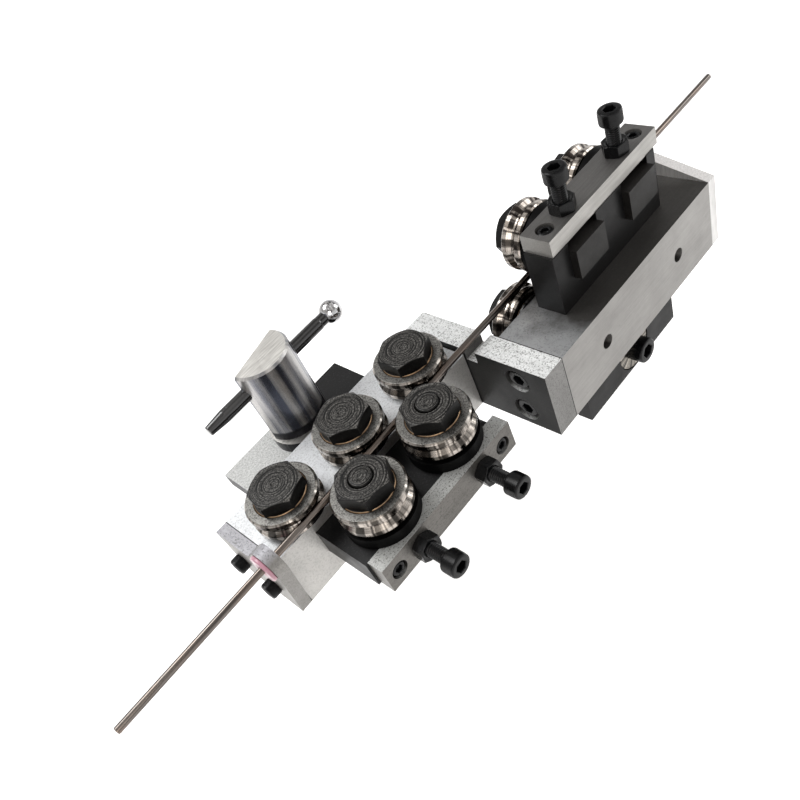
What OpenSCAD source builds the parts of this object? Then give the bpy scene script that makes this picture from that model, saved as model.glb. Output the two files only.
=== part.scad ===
// Two-plane wire straightener.
// Two identical five-roller stations stand in line on one wire: station A
// straightens it from side to side, station B, turned a quarter turn about
// the wire, straightens it up and down. In each station three rollers turn on
// bolts in a fixed block and two sit on carriers in a slide that a cam lever
// draws shut. The origin is midway between the two base holes of station A.
//
// Each station is drawn in its own frame: X runs along the wire from the
// middle roller, Y from the wire towards the block, Z up along the rollers.

/* [Wire] */
// Diameter of the wire
wire_d = 4; // [3:0.1:4.6]
// Length of wire lying in the machine
wire_length = 512; // [460:1:560]
// Length of wire ahead of the middle of station A
wire_infeed = 175; // [150:1:200]
// Height of the wire above the underside
axis_height = 50.5; // [50:0.1:53]
// Gap between the wire and a roller groove
wire_gap = 0.1; // [0.05:0.01:0.2]

/* [Rollers] */
// Outer diameter of a roller
roller_d = 40; // [38:0.1:41]
// Width of a roller
roller_w = 13; // [12:0.1:13.4]
// Chamfer on a roller's rims
roller_edge = 0.9; // [0.4:0.1:1.2]
// Depth of the groove at its root
groove_depth = 2; // [1.8:0.1:2.4]
// Diameter of the bearing inside a roller
bearing_d = 28.9; // [27:0.1:29.5]
// Radial clearance of a part that turns
turn_fit = 0.05; // [0.03:0.01:0.08]
// Clearance of a part that slides
slide_fit = 0.08; // [0.04:0.01:0.1]

/* [Axles] */
// Size across flats of the axle heads and nuts
axle_flats = 26.5; // [24:0.1:27]
// Height of an axle bolt's head
axle_head_h = 7; // [6:0.1:8]
// Height of an axle nut
axle_nut_h = 8; // [7:0.1:9]
// Diameter of the shoulder inside a bearing
shoulder_d = 16; // [14:0.1:17]
// Diameter of the threaded shank
shank_d = 12; // [10:0.1:12.5]
// Height of a stud's end above its nut
stud_end_h = 1; // [0.5:0.1:2]
// Width of the foot of a collar
collar_d = 33; // [30:0.1:34]

/* [Block] */
// Length of a roller block
block_length = 150; // [146:1:154]
// Depth of a block away from the wire
block_depth = 45.5; // [45:0.1:47]
// Distance of a block's near face from the wire
block_near = 5; // [4.5:0.1:6]
// Depth of a block's top below the wire
block_drop = 9.5; // [9:0.1:10]
// Thickness of the roof above the slide
roof_t = 7; // [6:0.1:7.5]
// Thickness of the wall that the cam bears on
back_wall_t = 5.5; // [5:0.1:6]
// Distance between the two base holes
base_hole_spacing = 75; // [70:1:76]
// Diameter of a tapped base hole
base_hole_d = 8.5; // [8:0.1:9]
// Depth of a base hole
base_hole_depth = 13; // [10:0.5:14]
// Gap between the last roller and the exit plate
exit_gap = 0.5; // [0.3:0.1:1]

/* [Slide] */
// Thickness of the slide
slide_t = 18; // [17:0.1:18.5]
// Thickness of the slide's rear ledge
ledge_t = 10; // [9:0.1:11]
// Slide beyond a carried roller's axis, against the feed
slide_over_left = 26.5; // [25:0.1:28]
// Slide beyond a carried roller's axis, along the feed
slide_over_right = 20.4; // [20:0.1:22]
// Reach of the ledge behind the wire
ledge_back = 94; // [92:0.5:98]
// Distance that the cam lever opens the slide
stroke = 15; // [12:0.5:15]

/* [Roller carriers] */
// Width of the slot that guides a carrier
carrier_slot_w = 26; // [25:0.1:26.5]
// Depth of a carrier's block along its travel
carrier_depth = 18; // [17:0.1:18.4]
// Depth of the carrier below the slide's top
carrier_drop = 22.5; // [21:0.1:24]
// Width of a carrier's tongue
tongue_w = 1.5; // [1:0.1:1.8]
// Height of a carrier's tongue
tongue_h = 3.5; // [3:0.1:3.6]
// Diameter of the disc under a carried roller
boss_d = 41; // [39:0.1:42]
// Travel of a carrier away from the wire
carrier_travel = 4; // [2:0.1:4]

/* [Adjusting bar] */
// Adjusting bar beyond a carried roller's axis
bar_over = 25; // [24:0.1:26]
// Thickness of the adjusting bar
bar_t = 10; // [9.5:0.1:11]
// Height of the adjusting bar
bar_h = 18.5; // [18:0.1:18.6]
// Rise of the bar above the slide's top
bar_rise = 1; // [0.5:0.1:1.1]
// Distance of the bar's first screw from the carried roller's axis
bar_screw_over_left = 16.7; // [16.4:0.1:18]
// Distance of the bar's second screw from the carried roller's axis
bar_screw_over_right = 16.5; // [16.4:0.1:17]
// Diameter of the bar's screws
bar_screw_d = 5; // [4:0.1:5]
// Diameter of an adjusting screw
adjuster_d = 8; // [7:0.1:8.5]
// Reach of an adjusting screw outside the bar
adjuster_reach = 25.5; // [24:0.5:28]
// Size across flats of a lock nut
lock_nut_flats = 13; // [12:0.1:13.5]
// Height of a lock nut
lock_nut_h = 7; // [5:0.1:8]

/* [Cam lever] */
// Distance of the cam's pivot from the wire
pivot_y = 78.5; // [78:0.1:80]
// Diameter of the cam's post
post_d = 38.4; // [37:0.1:39]
// Height of the post's top above the wire
post_top = 34.5; // [33:0.5:38]
// Distance of the post's flat behind its axis
post_flat = 1.9; // [1.5:0.1:2.5]
// Turn of the post's flat
post_flat_turn = 14.6; // [12:0.1:16]
// Diameter of the neck through the ledge
neck_d = 24; // [22:0.1:25]
// Height of the cam lobe
lobe_h = 7.4; // [6:0.1:8]
// Diameter of the lever bar
lever_d = 8; // [7:0.1:8.4]
// Half length of the lever bar
lever_half = 47; // [44:0.5:49]
// Height of the lever bar above the wire
lever_z = 21.2; // [20.5:0.1:24]
// Offset of the lever bar from the pivot
lever_offset = 3.2; // [3:0.1:3.6]
// Diameter of the ball on the lever bar
ball_d = 13.7; // [12:0.1:14]
// Diameter of the washer under the ledge
cam_washer_d = 30; // [29:0.1:31]

/* [Plates and guides] */
// Thickness of the plate that joins the blocks
cross_plate_t = 15; // [14:0.1:16]
// Rounding of the joining plate's upper corner
cross_plate_r = 5; // [3:0.5:6]
// Width of the wire slot in the joining plate
wire_slot_w = 8; // [7:0.1:10]
// Depth of the wire slot
wire_slot_depth = 8; // [6:0.5:10]
// Spacing of the joining plate's screws
cross_screw_spacing = 23; // [22:0.5:24]
// Diameter of the joining plate's screws
cross_screw_d = 8; // [7:0.1:8.4]
// Thickness of an end plate
end_plate_t = 7; // [6:0.1:8]
// Radius of an end plate's lug
lug_r = 8.8; // [8.6:0.1:9.6]
// Spacing of an end plate's screws
end_screw_spacing = 27.6; // [26:0.1:29]
// Diameter of an end plate's screws
end_screw_d = 6; // [5:0.1:6.4]
// Diameter of a wire guide's flange
guide_d = 16.4; // [15.6:0.1:17]
// Height of a wire guide's flange
guide_flange_h = 2.3; // [2:0.1:3]
// Diameter of a wire guide's bore
guide_bore_d = 5.2; // [5.2:0.1:6]

/* [Hidden] */
$fn = 96;
eps = 0.01;

// Gaps and fits
running_gap = 0.1;
free_gap = 0.3;

// Stations along the wire: three roller pitches make a block, and block B is
// shifted so that its exit plate just clears the last roller
hole_line = 28;
roller_pitch = block_length / 3;
roller_r = roller_d / 2;
block_end = block_length / 2;
block_b_shift = roller_pitch + roller_r + exit_gap - block_end;
station_b = block_end + cross_plate_t + block_end - block_b_shift;

// Rollers
groove_root = roller_r - groove_depth;
row = groove_root + wire_d / 2 + wire_gap;
groove_tip = row - (wire_d / 2 + wire_gap) * sqrt(2);
bearing_h = roller_w + 0.9;
bearing_low = -roller_w / 2 - 0.4;
bearing_top = bearing_low + bearing_h;
fixed_x = [-roller_pitch, 0, roller_pitch];
carried_x = [-roller_pitch / 2, roller_pitch / 2];

// Block
block_back = block_near + block_depth;
slide_top = -block_drop - roof_t;
slide_base = slide_top - slide_t;
ledge_top = slide_base + ledge_t;
back_wall = block_back - back_wall_t;
slide_step = back_wall - free_gap;
bolt_end = slide_base - 7.5;

// Slide and adjusting bar along the wire
slide_left = roller_pitch / 2 + slide_over_left;
slide_right = roller_pitch / 2 + slide_over_right;
bar_length = roller_pitch + 2 * bar_over;
bar_screw_x = [
    -roller_pitch / 2 - bar_screw_over_left,
    roller_pitch / 2 + bar_screw_over_right
];

// Slide cut-outs that clear the axle bolts over the stroke
cut_w = shank_d + 2;
cut_near = row - cut_w / 2;
cut_far = row + stroke + cut_w / 2;

// Carriers
slot_back = -9.5;
carrier_near = slot_back - 0.6;
carrier_far = carrier_near - carrier_depth;
slide_front = carrier_travel - carrier_far + free_gap + running_gap;
carrier_base = slide_top - carrier_drop;
tongue_z = slide_base + 2.5;
boss_low = slide_top + bar_rise + free_gap;
boss_top = bearing_low - 1.5;
seat_d = 23;

// Adjusting bar and its screws
bar_top = slide_top + bar_rise;
bar_front = -slide_front - bar_t;
screw_z = slide_top - slide_t / 2 + 0.1;
journal_d = 6;
journal_len = 6;
stud_base = screw_z + journal_d / 2 + 1;
bar_screw_head_d = 8.5;
bar_screw_head_h = 5;
bar_recess_d = 10;
bar_recess = 5.5;
bar_screw_grip = 11;
adjuster_head_d = 13;
adjuster_head_h = 8;

// Cam: a constant fall of the lobe per degree keeps lever and slide in step
pivot_gap = pivot_y - block_back;
lobe_reach = pivot_gap - free_gap;
lobe_fall = stroke / 180;
lobe_lead = lobe_fall * 180 / PI;
lobe_low = ledge_top + running_gap;
washer_h = 3;
washer_sink = 0.4;
washer_seat = slide_base + washer_h + washer_sink;
hub_foot = washer_seat - running_gap;
cam_screw_d = 10;
cam_screw_head_d = 16;
cam_screw_head_h = 10;
cam_screw_grip = 18;
lever_tip_d = 6;
lever_tip_len = 12;

// Joining plate and end plates
plate_x = block_end;
plate_top = -block_near;
screw_row = (block_near + block_back) / 2;
screw_level = -(block_drop + axis_height) / 2;
cross_head_d = 13;
cross_head_h = 8;
cross_recess = cross_head_h + 1;
cross_screw_grip = 14;
end_head_d = 10;
end_head_h = 6;
end_screw_grip = 12;
hole_over = 2;
sleeve_d = 13;
outline_shoulder = 22;
lug_dip = 0.03;

// Placing: station A stands upright, station B is turned about the wire
module on_a() {
    translate([0, -hole_line, axis_height]) children();
}

module on_b() {
    translate([station_b, -hole_line, axis_height]) rotate([-90, 0, 0]) children();
}

module each_station() {
    on_a() children();
    on_b() children();
}

// A cylinder that runs along X or Y
module rod_x(d, length) {
    rotate([0, 90, 0]) cylinder(d = d, h = length);
}

module rod_y(d, length) {
    rotate([-90, 0, 0]) cylinder(d = d, h = length);
}

module hexagon(flats, h) {
    cylinder(d = flats / cos(30), h = h, $fn = 6);
}

// Hexagon with the corners of one face turned down
module chamfered_hexagon(flats, h) {
    intersection() {
        hexagon(flats, h);
        union() {
            cylinder(d = flats * 1.2, h = h - 1.2);
            translate([0, 0, h - 1.2])
                cylinder(d1 = flats * 1.2, d2 = flats * 0.98, h = 1.2);
        }
    }
}

// Socket head, axis along Z, seat at z = 0, rising to h, with a hexagon socket
module socket_head(d, h, socket) {
    difference() {
        union() {
            cylinder(d = d, h = h - 0.5);
            translate([0, 0, h - 0.5]) cylinder(d1 = d, d2 = d - 1, h = 0.5);
        }
        translate([0, 0, h * 0.45]) hexagon(socket, h);
    }
}

// Rollers and their axles

module roller() {
    rim = roller_r - groove_tip;
    half = roller_w / 2;
    root = groove_root - groove_tip;
    rotate_extrude() polygon([
        [bearing_d / 2 + turn_fit, -half],
        [roller_r - roller_edge, -half],
        [roller_r, -half + roller_edge],
        [roller_r, -rim],
        [groove_root, -root],
        [groove_root, root],
        [roller_r, rim],
        [roller_r, half - roller_edge],
        [roller_r - roller_edge, half],
        [bearing_d / 2 + turn_fit, half]
    ]);
}

module fixed_roller(i) {
    translate([fixed_x[i], row, 0]) roller();
}

module carried_roller(i) {
    translate([carried_x[i], -row, 0]) roller();
}

// Sealed bearing: two rings with a recessed shield between them
module bearing() {
    ring = 2.6;
    shield = 0.8;
    mid = (bearing_d + shoulder_d) / 4;
    shield_w = (bearing_d - shoulder_d) / 2 - 2 * ring;
    difference() {
        translate([0, 0, bearing_low]) cylinder(d = bearing_d, h = bearing_h);
        translate([0, 0, bearing_low - 1]) cylinder(d = shoulder_d + 2 * turn_fit, h = bearing_h + 2);
        for (z = [bearing_low - eps, bearing_top - shield])
            translate([0, 0, z]) difference() {
                cylinder(r = mid + shield_w / 2, h = shield + eps);
                cylinder(r = mid - shield_w / 2, h = shield + eps);
            }
    }
}

module axle_bolt() {
    translate([0, 0, bearing_top]) chamfered_hexagon(axle_flats, axle_head_h);
    translate([0, 0, -block_drop]) cylinder(d = shoulder_d, h = bearing_top + block_drop);
    translate([0, 0, bolt_end]) cylinder(d = shank_d, h = -block_drop - bolt_end);
}

// Collar that stands on the block and carries the bearing
module axle_collar() {
    foot = block_drop + bearing_low - 0.7;
    difference() {
        translate([0, 0, -block_drop]) union() {
            cylinder(d = collar_d, h = foot);
            cylinder(d = seat_d, h = block_drop + bearing_low);
        }
        translate([0, 0, -block_drop - 1])
            cylinder(d = shoulder_d + 2 * turn_fit, h = block_drop + bearing_low + 2);
    }
}

// Stud of a carried roller: its shank ends above the adjusting screw's journal
module axle_stud() {
    top = bearing_top + axle_nut_h + stud_end_h;
    translate([0, 0, stud_base]) cylinder(d = shank_d, h = boss_top - stud_base);
    translate([0, 0, boss_top]) cylinder(d = shoulder_d, h = bearing_top - boss_top);
    translate([0, 0, bearing_top]) cylinder(d = shank_d, h = top - 0.8 - bearing_top);
    translate([0, 0, top - 0.8]) cylinder(d1 = shank_d, d2 = shank_d - 1.6, h = 0.8);
}

module axle_nut() {
    difference() {
        translate([0, 0, bearing_top]) chamfered_hexagon(axle_flats, axle_nut_h);
        translate([0, 0, bearing_top - 1])
            cylinder(d = shank_d + 2 * turn_fit, h = axle_nut_h + 2);
    }
}

// Block: the slide runs through it under the roof, and behind the wall that
// the cam bears on only the thinner ledge comes out

module roller_block(shift) {
    left = -slide_left - slide_fit;
    width = slide_left + slide_right + 2 * slide_fit;
    difference() {
        translate([shift - block_end, block_near, -axis_height])
            cube([block_length, block_depth, axis_height - block_drop]);
        translate([left, block_near - 1, slide_base - slide_fit])
            cube([width, back_wall - block_near + 1, slide_t + 2 * slide_fit]);
        translate([left, back_wall - eps, slide_base - slide_fit])
            cube([width, back_wall_t + 1, ledge_t + 2 * slide_fit]);
        for (x = fixed_x)
            translate([x, row, bolt_end - 0.5])
                cylinder(d = shank_d + 2 * turn_fit, h = axis_height);
        for (side = [-1, 1])
            translate([shift + side * base_hole_spacing / 2, hole_line, -axis_height])
                tapped_base_hole();
        for (x = [shift - block_end, shift + block_end])
            block_end_holes(x, shift);
    }
}

module tapped_base_hole() {
    translate([0, 0, -1]) cylinder(d = base_hole_d, h = base_hole_depth + 1);
}

// The joining plate's screws enter one end of a block, the end plate's the other.
// Block A (no shift) has its joining plate along the feed, block B against it.
module block_end_holes(x, shift) {
    joined = (shift == 0) == (x > shift);
    spacing = joined ? cross_screw_spacing : end_screw_spacing;
    d = joined ? cross_screw_d : end_screw_d;
    depth = hole_over + (joined ? cross_screw_grip : end_screw_grip);
    for (side = [-1, 1])
        translate([x > shift ? x - depth : x - 1, screw_row + side * spacing / 2, screw_level])
            rod_x(d + 2 * turn_fit, depth + 1);
}

// Slide, adjusting bar and carriers

module slide_cut(x) {
    translate([x, cut_near + cut_w / 2, slide_base - 1]) cylinder(d = cut_w, h = slide_t + 2);
    translate([x, cut_far - cut_w / 2, slide_base - 1]) cylinder(d = cut_w, h = slide_t + 2);
    translate([x - cut_w / 2, cut_near + cut_w / 2, slide_base - 1])
        cube([cut_w, cut_far - cut_near - cut_w, slide_t + 2]);
}

module carrier_slot(x) {
    translate([x - carrier_slot_w / 2, -slide_front - 1, slide_base - 1])
        cube([carrier_slot_w, slide_front + slot_back + 1, slide_t + 2]);
    translate([x - carrier_slot_w / 2 - tongue_w - slide_fit, -slide_front - 1, tongue_z - slide_fit])
        cube([carrier_slot_w + 2 * (tongue_w + slide_fit), slide_front + slot_back + 1,
              tongue_h + 2 * slide_fit]);
}

module slide() {
    width = slide_left + slide_right;
    difference() {
        union() {
            translate([-slide_left, -slide_front, slide_base])
                cube([width, slide_front + slide_step, slide_t]);
            translate([-slide_left, slide_step - eps, slide_base])
                cube([width, ledge_back - slide_step + eps, ledge_t]);
        }
        for (x = fixed_x) slide_cut(x);
        for (x = carried_x) carrier_slot(x);
        for (x = bar_screw_x)
            translate([x, -slide_front - 1, screw_z])
                rod_y(bar_screw_d + 2 * turn_fit, bar_screw_grip + hole_over);
        translate([0, pivot_y, slide_base - 1])
            cylinder(d = neck_d + 2 * turn_fit, h = ledge_t + 2);
        translate([0, pivot_y, slide_base - 1])
            cylinder(d = cam_washer_d + 2 * free_gap, h = washer_seat - slide_base + 1);
    }
}

module adjusting_bar() {
    difference() {
        translate([-bar_length / 2, bar_front, bar_top - bar_h])
            cube([bar_length, bar_t, bar_h]);
        for (x = bar_screw_x) {
            translate([x, bar_front - 1, screw_z])
                rod_y(bar_screw_d + 2 * turn_fit, bar_t + 2);
            translate([x, bar_front - 1, screw_z]) rod_y(bar_recess_d, bar_recess + 1);
        }
        for (x = carried_x)
            translate([x, bar_front - 1, screw_z])
                rod_y(adjuster_d + 2 * turn_fit, bar_t + 2);
    }
}

module bar_screw() {
    seat = bar_front + bar_recess;
    translate([0, seat, screw_z]) rotate([90, 0, 0])
        socket_head(bar_screw_head_d, bar_screw_head_h, 4);
    translate([0, seat - eps, screw_z])
        rod_y(bar_screw_d, bar_t - bar_recess + bar_screw_grip);
}

module lock_nut() {
    difference() {
        translate([0, bar_front, screw_z]) rotate([90, 0, 0])
            chamfered_hexagon(lock_nut_flats, lock_nut_h);
        translate([0, bar_front - lock_nut_h - 1, screw_z])
            rod_y(adjuster_d + 2 * turn_fit, lock_nut_h + 2);
    }
}

// Carrier: a block with a tongue on each side, and a disc under its roller
module carrier() {
    width = carrier_slot_w - 2 * slide_fit;
    difference() {
        union() {
            translate([-width / 2, carrier_far, carrier_base])
                cube([width, carrier_depth, boss_low - carrier_base]);
            translate([-width / 2 - tongue_w, carrier_far, tongue_z])
                cube([width + 2 * tongue_w, carrier_depth, tongue_h]);
            translate([0, -row, boss_low]) cylinder(d = boss_d, h = boss_top - boss_low);
            translate([0, -row, boss_low]) cylinder(d = seat_d, h = bearing_low - boss_low);
        }
        translate([0, -row, stud_base - 0.3])
            cylinder(d = shank_d + 2 * turn_fit, h = boss_top - stud_base + 1);
        translate([0, -row, boss_top])
            cylinder(d = shoulder_d + 2 * turn_fit, h = bearing_low - boss_top + 1);
        translate([0, carrier_far - 1, screw_z])
            rod_y(journal_d + 2 * turn_fit, journal_len + 1.4);
    }
}

// Adjusting screw: socket head outside the bar, journal held in the carrier
module adjusting_screw() {
    head_seat = bar_front - adjuster_reach + adjuster_head_h;
    shank_end = carrier_far - running_gap;
    translate([0, head_seat, screw_z]) rotate([90, 0, 0])
        socket_head(adjuster_head_d, adjuster_head_h, 6);
    translate([0, head_seat - eps, screw_z]) rod_y(adjuster_d, shank_end - head_seat + eps);
    translate([0, shank_end - eps, screw_z]) rod_y(journal_d, journal_len + running_gap);
}

// Cam lever

// Point of the lobe that faces the block after the lever has turned t degrees.
// The face's distance from the pivot falls evenly with t, so the outline is an
// involute: the contact point stays lobe_lead to one side of the pivot.
function lobe_point(t) =
    let (reach = lobe_reach - lobe_fall * t, a = -90 - t)
    [reach * cos(a) - lobe_lead * sin(a), reach * sin(a) + lobe_lead * cos(a)];

module lobe() {
    step = 7.5;
    linear_extrude(lobe_h) union() {
        polygon(concat([for (t = [0 : step : 180]) lobe_point(t)], [[lobe_lead, 0]]));
        circle(d = neck_d);
    }
}

module post() {
    edge = 1.3;
    r = post_d / 2;
    difference() {
        rotate_extrude() polygon([
            [0, lobe_low],
            [r, lobe_low],
            [r, post_top - edge],
            [r - edge, post_top],
            [0, post_top]
        ]);
        rotate([0, 0, post_flat_turn])
            translate([-post_d, post_flat, lobe_low - 1])
                cube([2 * post_d, post_d, post_top - lobe_low + 2]);
    }
}

module cam_hub() {
    bore_top = hub_foot + cam_screw_grip + hole_over + 1;
    translate([0, pivot_y, 0]) difference() {
        union() {
            post();
            translate([0, 0, lobe_low]) lobe();
            translate([0, 0, hub_foot]) cylinder(d = neck_d, h = lobe_low - hub_foot + 1);
        }
        translate([0, 0, hub_foot - 1])
            cylinder(d = cam_screw_d + 2 * turn_fit, h = bore_top - hub_foot + 1);
        translate([-post_d, -lever_offset, lever_z]) rod_x(lever_d, 2 * post_d);
    }
}

// Lever bar: pressed through the post, tapered at its free end
module lever_bar() {
    translate([0, pivot_y - lever_offset, lever_z]) {
        translate([-lever_half + lever_tip_len, 0, 0])
            rod_x(lever_d, 2 * lever_half - lever_tip_len);
        translate([-lever_half, 0, 0]) rotate([0, 90, 0])
            cylinder(d1 = lever_tip_d, d2 = lever_d, h = lever_tip_len);
    }
}

// Ball with a blind bore for the end of the lever bar
module ball_knob() {
    r = ball_d / 2;
    bore = lever_d / 2;
    mouth = asin(bore / r);
    bands = 24;
    centre = lever_half + r * 0.54;
    translate([centre, pivot_y - lever_offset, lever_z]) rotate([0, 90, 0])
        rotate_extrude() polygon(concat(
            [for (i = [0 : bands])
                let (a = mouth + (180 - mouth) * i / bands) [r * sin(a), -r * cos(a)]],
            [[0, lever_half - centre], [bore, lever_half - centre]]
        ));
}

module cam_washer() {
    translate([0, pivot_y, hub_foot - washer_h]) difference() {
        cylinder(d = cam_washer_d, h = washer_h);
        translate([0, 0, -1]) cylinder(d = cam_screw_d + 2 * turn_fit, h = washer_h + 2);
    }
}

module cam_screw() {
    seat = hub_foot - washer_h;
    translate([0, pivot_y, seat]) rotate([180, 0, 0])
        socket_head(cam_screw_head_d, cam_screw_head_h, 8);
    translate([0, pivot_y, seat - eps]) cylinder(d = cam_screw_d, h = washer_h + cam_screw_grip);
}

// Plates and wire guides

// Point on the lug where a line from p meets it, on the given side. The line
// dips a hair inside the lug's circle, so that it crosses it cleanly.
function lug_point(p, side) =
    let (r = lug_r - lug_dip, a = atan2(p[1], p[0]) + side * acos(r / norm(p)))
    [r * cos(a), r * sin(a)];

// End plate in (Y, Z): the block's end face joined to a lug round the wire
module end_plate_outline() {
    shoulder = [outline_shoulder, -block_drop];
    heel = [block_near, -axis_height];
    difference() {
        union() {
            circle(r = lug_r);
            polygon([
                [0, 0], lug_point(shoulder, 1), shoulder,
                [block_back, -block_drop], [block_back, -axis_height],
                heel, lug_point(heel, -1)
            ]);
        }
        circle(d = sleeve_d + 2 * turn_fit);
    }
}

module end_plate() {
    difference() {
        rotate([90, 0, 90]) linear_extrude(end_plate_t) end_plate_outline();
        for (side = [-1, 1])
            translate([-1, screw_row + side * end_screw_spacing / 2, screw_level])
                rod_x(end_screw_d + 2 * turn_fit, end_plate_t + 2);
    }
}

// Screws of an end plate, heads towards -X, seated at x = 0
module end_screws() {
    for (side = [-1, 1])
        translate([0, screw_row + side * end_screw_spacing / 2, screw_level]) {
            rotate([0, -90, 0]) socket_head(end_head_d, end_head_h, 5);
            translate([-eps, 0, 0]) rod_x(end_screw_d, end_plate_t + end_screw_grip);
        }
}

// Ceramic eyelet, flange towards -X, seated at x = 0, with a flared bore
module wire_guide() {
    flare = 1.6;
    bore = guide_bore_d / 2;
    rotate([0, 90, 0]) rotate_extrude() polygon([
        [bore + flare, -guide_flange_h],
        [guide_d / 2 - 0.8, -guide_flange_h],
        [guide_d / 2, -guide_flange_h + 0.8],
        [guide_d / 2, 0],
        [sleeve_d / 2, 0],
        [sleeve_d / 2, end_plate_t],
        [bore + flare, end_plate_t],
        [bore + flare / 3, end_plate_t - flare],
        [bore, end_plate_t - 2 * flare],
        [bore, -guide_flange_h + 2 * flare],
        [bore + flare / 3, -guide_flange_h + flare]
    ]);
}

module cross_screw_holes(d, start, length) {
    for (side = [-1, 1])
        translate([start, screw_row + side * cross_screw_spacing / 2, screw_level])
            rod_x(d, length);
}

// Joining plate, drawn from the wire axis, its -X face at x = plate_x
module cross_plate_solid() {
    difference() {
        translate([plate_x, 0, 0]) rotate([90, 0, 90]) linear_extrude(cross_plate_t)
            difference() {
                translate([-axis_height, -axis_height])
                    square([axis_height + block_back, axis_height + plate_top]);
                translate([-wire_slot_w / 2, plate_top - wire_slot_depth])
                    square([wire_slot_w, wire_slot_depth + 1]);
                translate([block_back - cross_plate_r, plate_top - cross_plate_r])
                    difference() {
                        square(cross_plate_r + 1);
                        circle(r = cross_plate_r);
                    }
            }
        cross_screw_holes(cross_screw_d + 2 * turn_fit, plate_x - 1, cross_plate_t + 2);
        cross_screw_holes(cross_head_d + 2.5, plate_x + cross_plate_t - cross_recess, cross_recess + 1);
        rotate([-90, 0, 0]) {
            cross_screw_holes(cross_screw_d + 2 * turn_fit, plate_x - 1, cross_plate_t + 2);
            cross_screw_holes(cross_head_d + 2.5, plate_x - 1, cross_recess + 1);
        }
    }
}

// Pair of screws that hold the joining plate, heads towards -X, seated at x = 0
module cross_screws() {
    for (side = [-1, 1])
        translate([0, screw_row + side * cross_screw_spacing / 2, screw_level]) {
            rotate([0, -90, 0]) socket_head(cross_head_d, cross_head_h, 6);
            translate([-eps, 0, 0])
                rod_x(cross_screw_d, cross_plate_t - cross_recess + cross_screw_grip);
        }
}

// Nodes of the frame

module block_a() {
    color("#b9bab8") on_a() roller_block(0);
}

module block_b() {
    color("#b9bab8") on_b() roller_block(block_b_shift);
}

module entry_plate() {
    color("#adaeac") on_a() translate([-block_end - end_plate_t, 0, 0]) end_plate();
}

module exit_plate() {
    color("#adaeac") on_b() translate([block_b_shift + block_end, 0, 0]) end_plate();
}

module cross_plate() {
    color("#b3b4b2") on_a() cross_plate_solid();
}

module cross_plate_screws() {
    seat = cross_plate_t - cross_recess;
    color("#232426") {
        on_a() translate([plate_x + seat, 0, 0]) mirror([1, 0, 0]) cross_screws();
        on_b() translate([block_b_shift - block_end - seat, 0, 0]) cross_screws();
    }
}

module end_plate_screws() {
    color("#232426") {
        on_a() translate([-block_end - end_plate_t, 0, 0]) end_screws();
        on_b() translate([block_b_shift + block_end + end_plate_t, 0, 0])
            mirror([1, 0, 0]) end_screws();
    }
}

module wire_guides() {
    color("#d9a3a6") {
        on_a() translate([-block_end - end_plate_t, 0, 0]) wire_guide();
        on_b() translate([block_b_shift + block_end + end_plate_t, 0, 0])
            mirror([1, 0, 0]) wire_guide();
    }
}

module axle_bolts() {
    color("#2b2b2d") each_station() for (x = fixed_x) translate([x, row, 0]) axle_bolt();
}

module axle_collars() {
    color("#3a3b3d") each_station() for (x = fixed_x) translate([x, row, 0]) axle_collar();
}

module axle_bearings() {
    color("#b7a98c") each_station() for (x = fixed_x) translate([x, row, 0]) bearing();
}

module wire() {
    color("#a5a3a0") translate([-wire_infeed, -hole_line, axis_height])
        rod_x(wire_d, wire_length);
}

module fixed_roller_node(i) {
    color("#c6c4c0") fixed_roller(i);
}

// Nodes that each station has once or twice

module carrier_node(i) {
    color("#242527") translate([carried_x[i], 0, 0]) carrier();
}

module stud_node(i) {
    color("#2b2b2d") translate([carried_x[i], -row, 0]) axle_stud();
}

module nut_node(i) {
    color("#2b2b2d") translate([carried_x[i], -row, 0]) axle_nut();
}

module bearing_node(i) {
    color("#b7a98c") translate([carried_x[i], -row, 0]) bearing();
}

module carried_roller_node(i) {
    color("#c6c4c0") carried_roller(i);
}

module adjusting_screw_node(i) {
    color("#232426") translate([carried_x[i], 0, 0]) adjusting_screw();
}

module slide_node() {
    color("#242527") slide();
}

module adjusting_bar_node() {
    color("#b3b4b2") adjusting_bar();
}

module bar_screws_node() {
    color("#232426") for (x = bar_screw_x) translate([x, 0, 0]) bar_screw();
}

module lock_nuts_node() {
    color("#232426") for (x = carried_x) translate([x, 0, 0]) lock_nut();
}

module cam_hub_node() {
    color("#a9a8aa") cam_hub();
}

module lever_bar_node() {
    color("#1d1d1f") lever_bar();
}

module ball_knob_node() {
    color("#cfcfd1") ball_knob();
}

module cam_washer_node() {
    color("#b7a98c") cam_washer();
}

module cam_screw_node() {
    color("#232426") cam_screw();
}

block_a();
block_b();
entry_plate();
exit_plate();
cross_plate();
cross_plate_screws();
end_plate_screws();
wire_guides();
axle_bolts();
axle_collars();
axle_bearings();
wire();

on_a() fixed_roller_node(0);  // roller_a1
on_a() fixed_roller_node(1);  // roller_a2
on_a() fixed_roller_node(2);  // roller_a3
on_a() carried_roller_node(0);  // roller_a4
on_a() carried_roller_node(1);  // roller_a5
on_a() carrier_node(0);  // carrier_a1
on_a() carrier_node(1);  // carrier_a2
on_a() stud_node(0);  // stud_a1
on_a() stud_node(1);  // stud_a2
on_a() nut_node(0);  // nut_a1
on_a() nut_node(1);  // nut_a2
on_a() bearing_node(0);  // bearing_a1
on_a() bearing_node(1);  // bearing_a2
on_a() slide_node();  // slide_a
on_a() adjusting_bar_node();  // adjusting_bar_a
on_a() bar_screws_node();  // bar_screws_a
on_a() lock_nuts_node();  // lock_nuts_a
on_a() adjusting_screw_node(0);  // adjusting_screw_a1
on_a() adjusting_screw_node(1);  // adjusting_screw_a2
on_a() cam_hub_node();  // cam_hub_a
on_a() lever_bar_node();  // lever_bar_a
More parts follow.
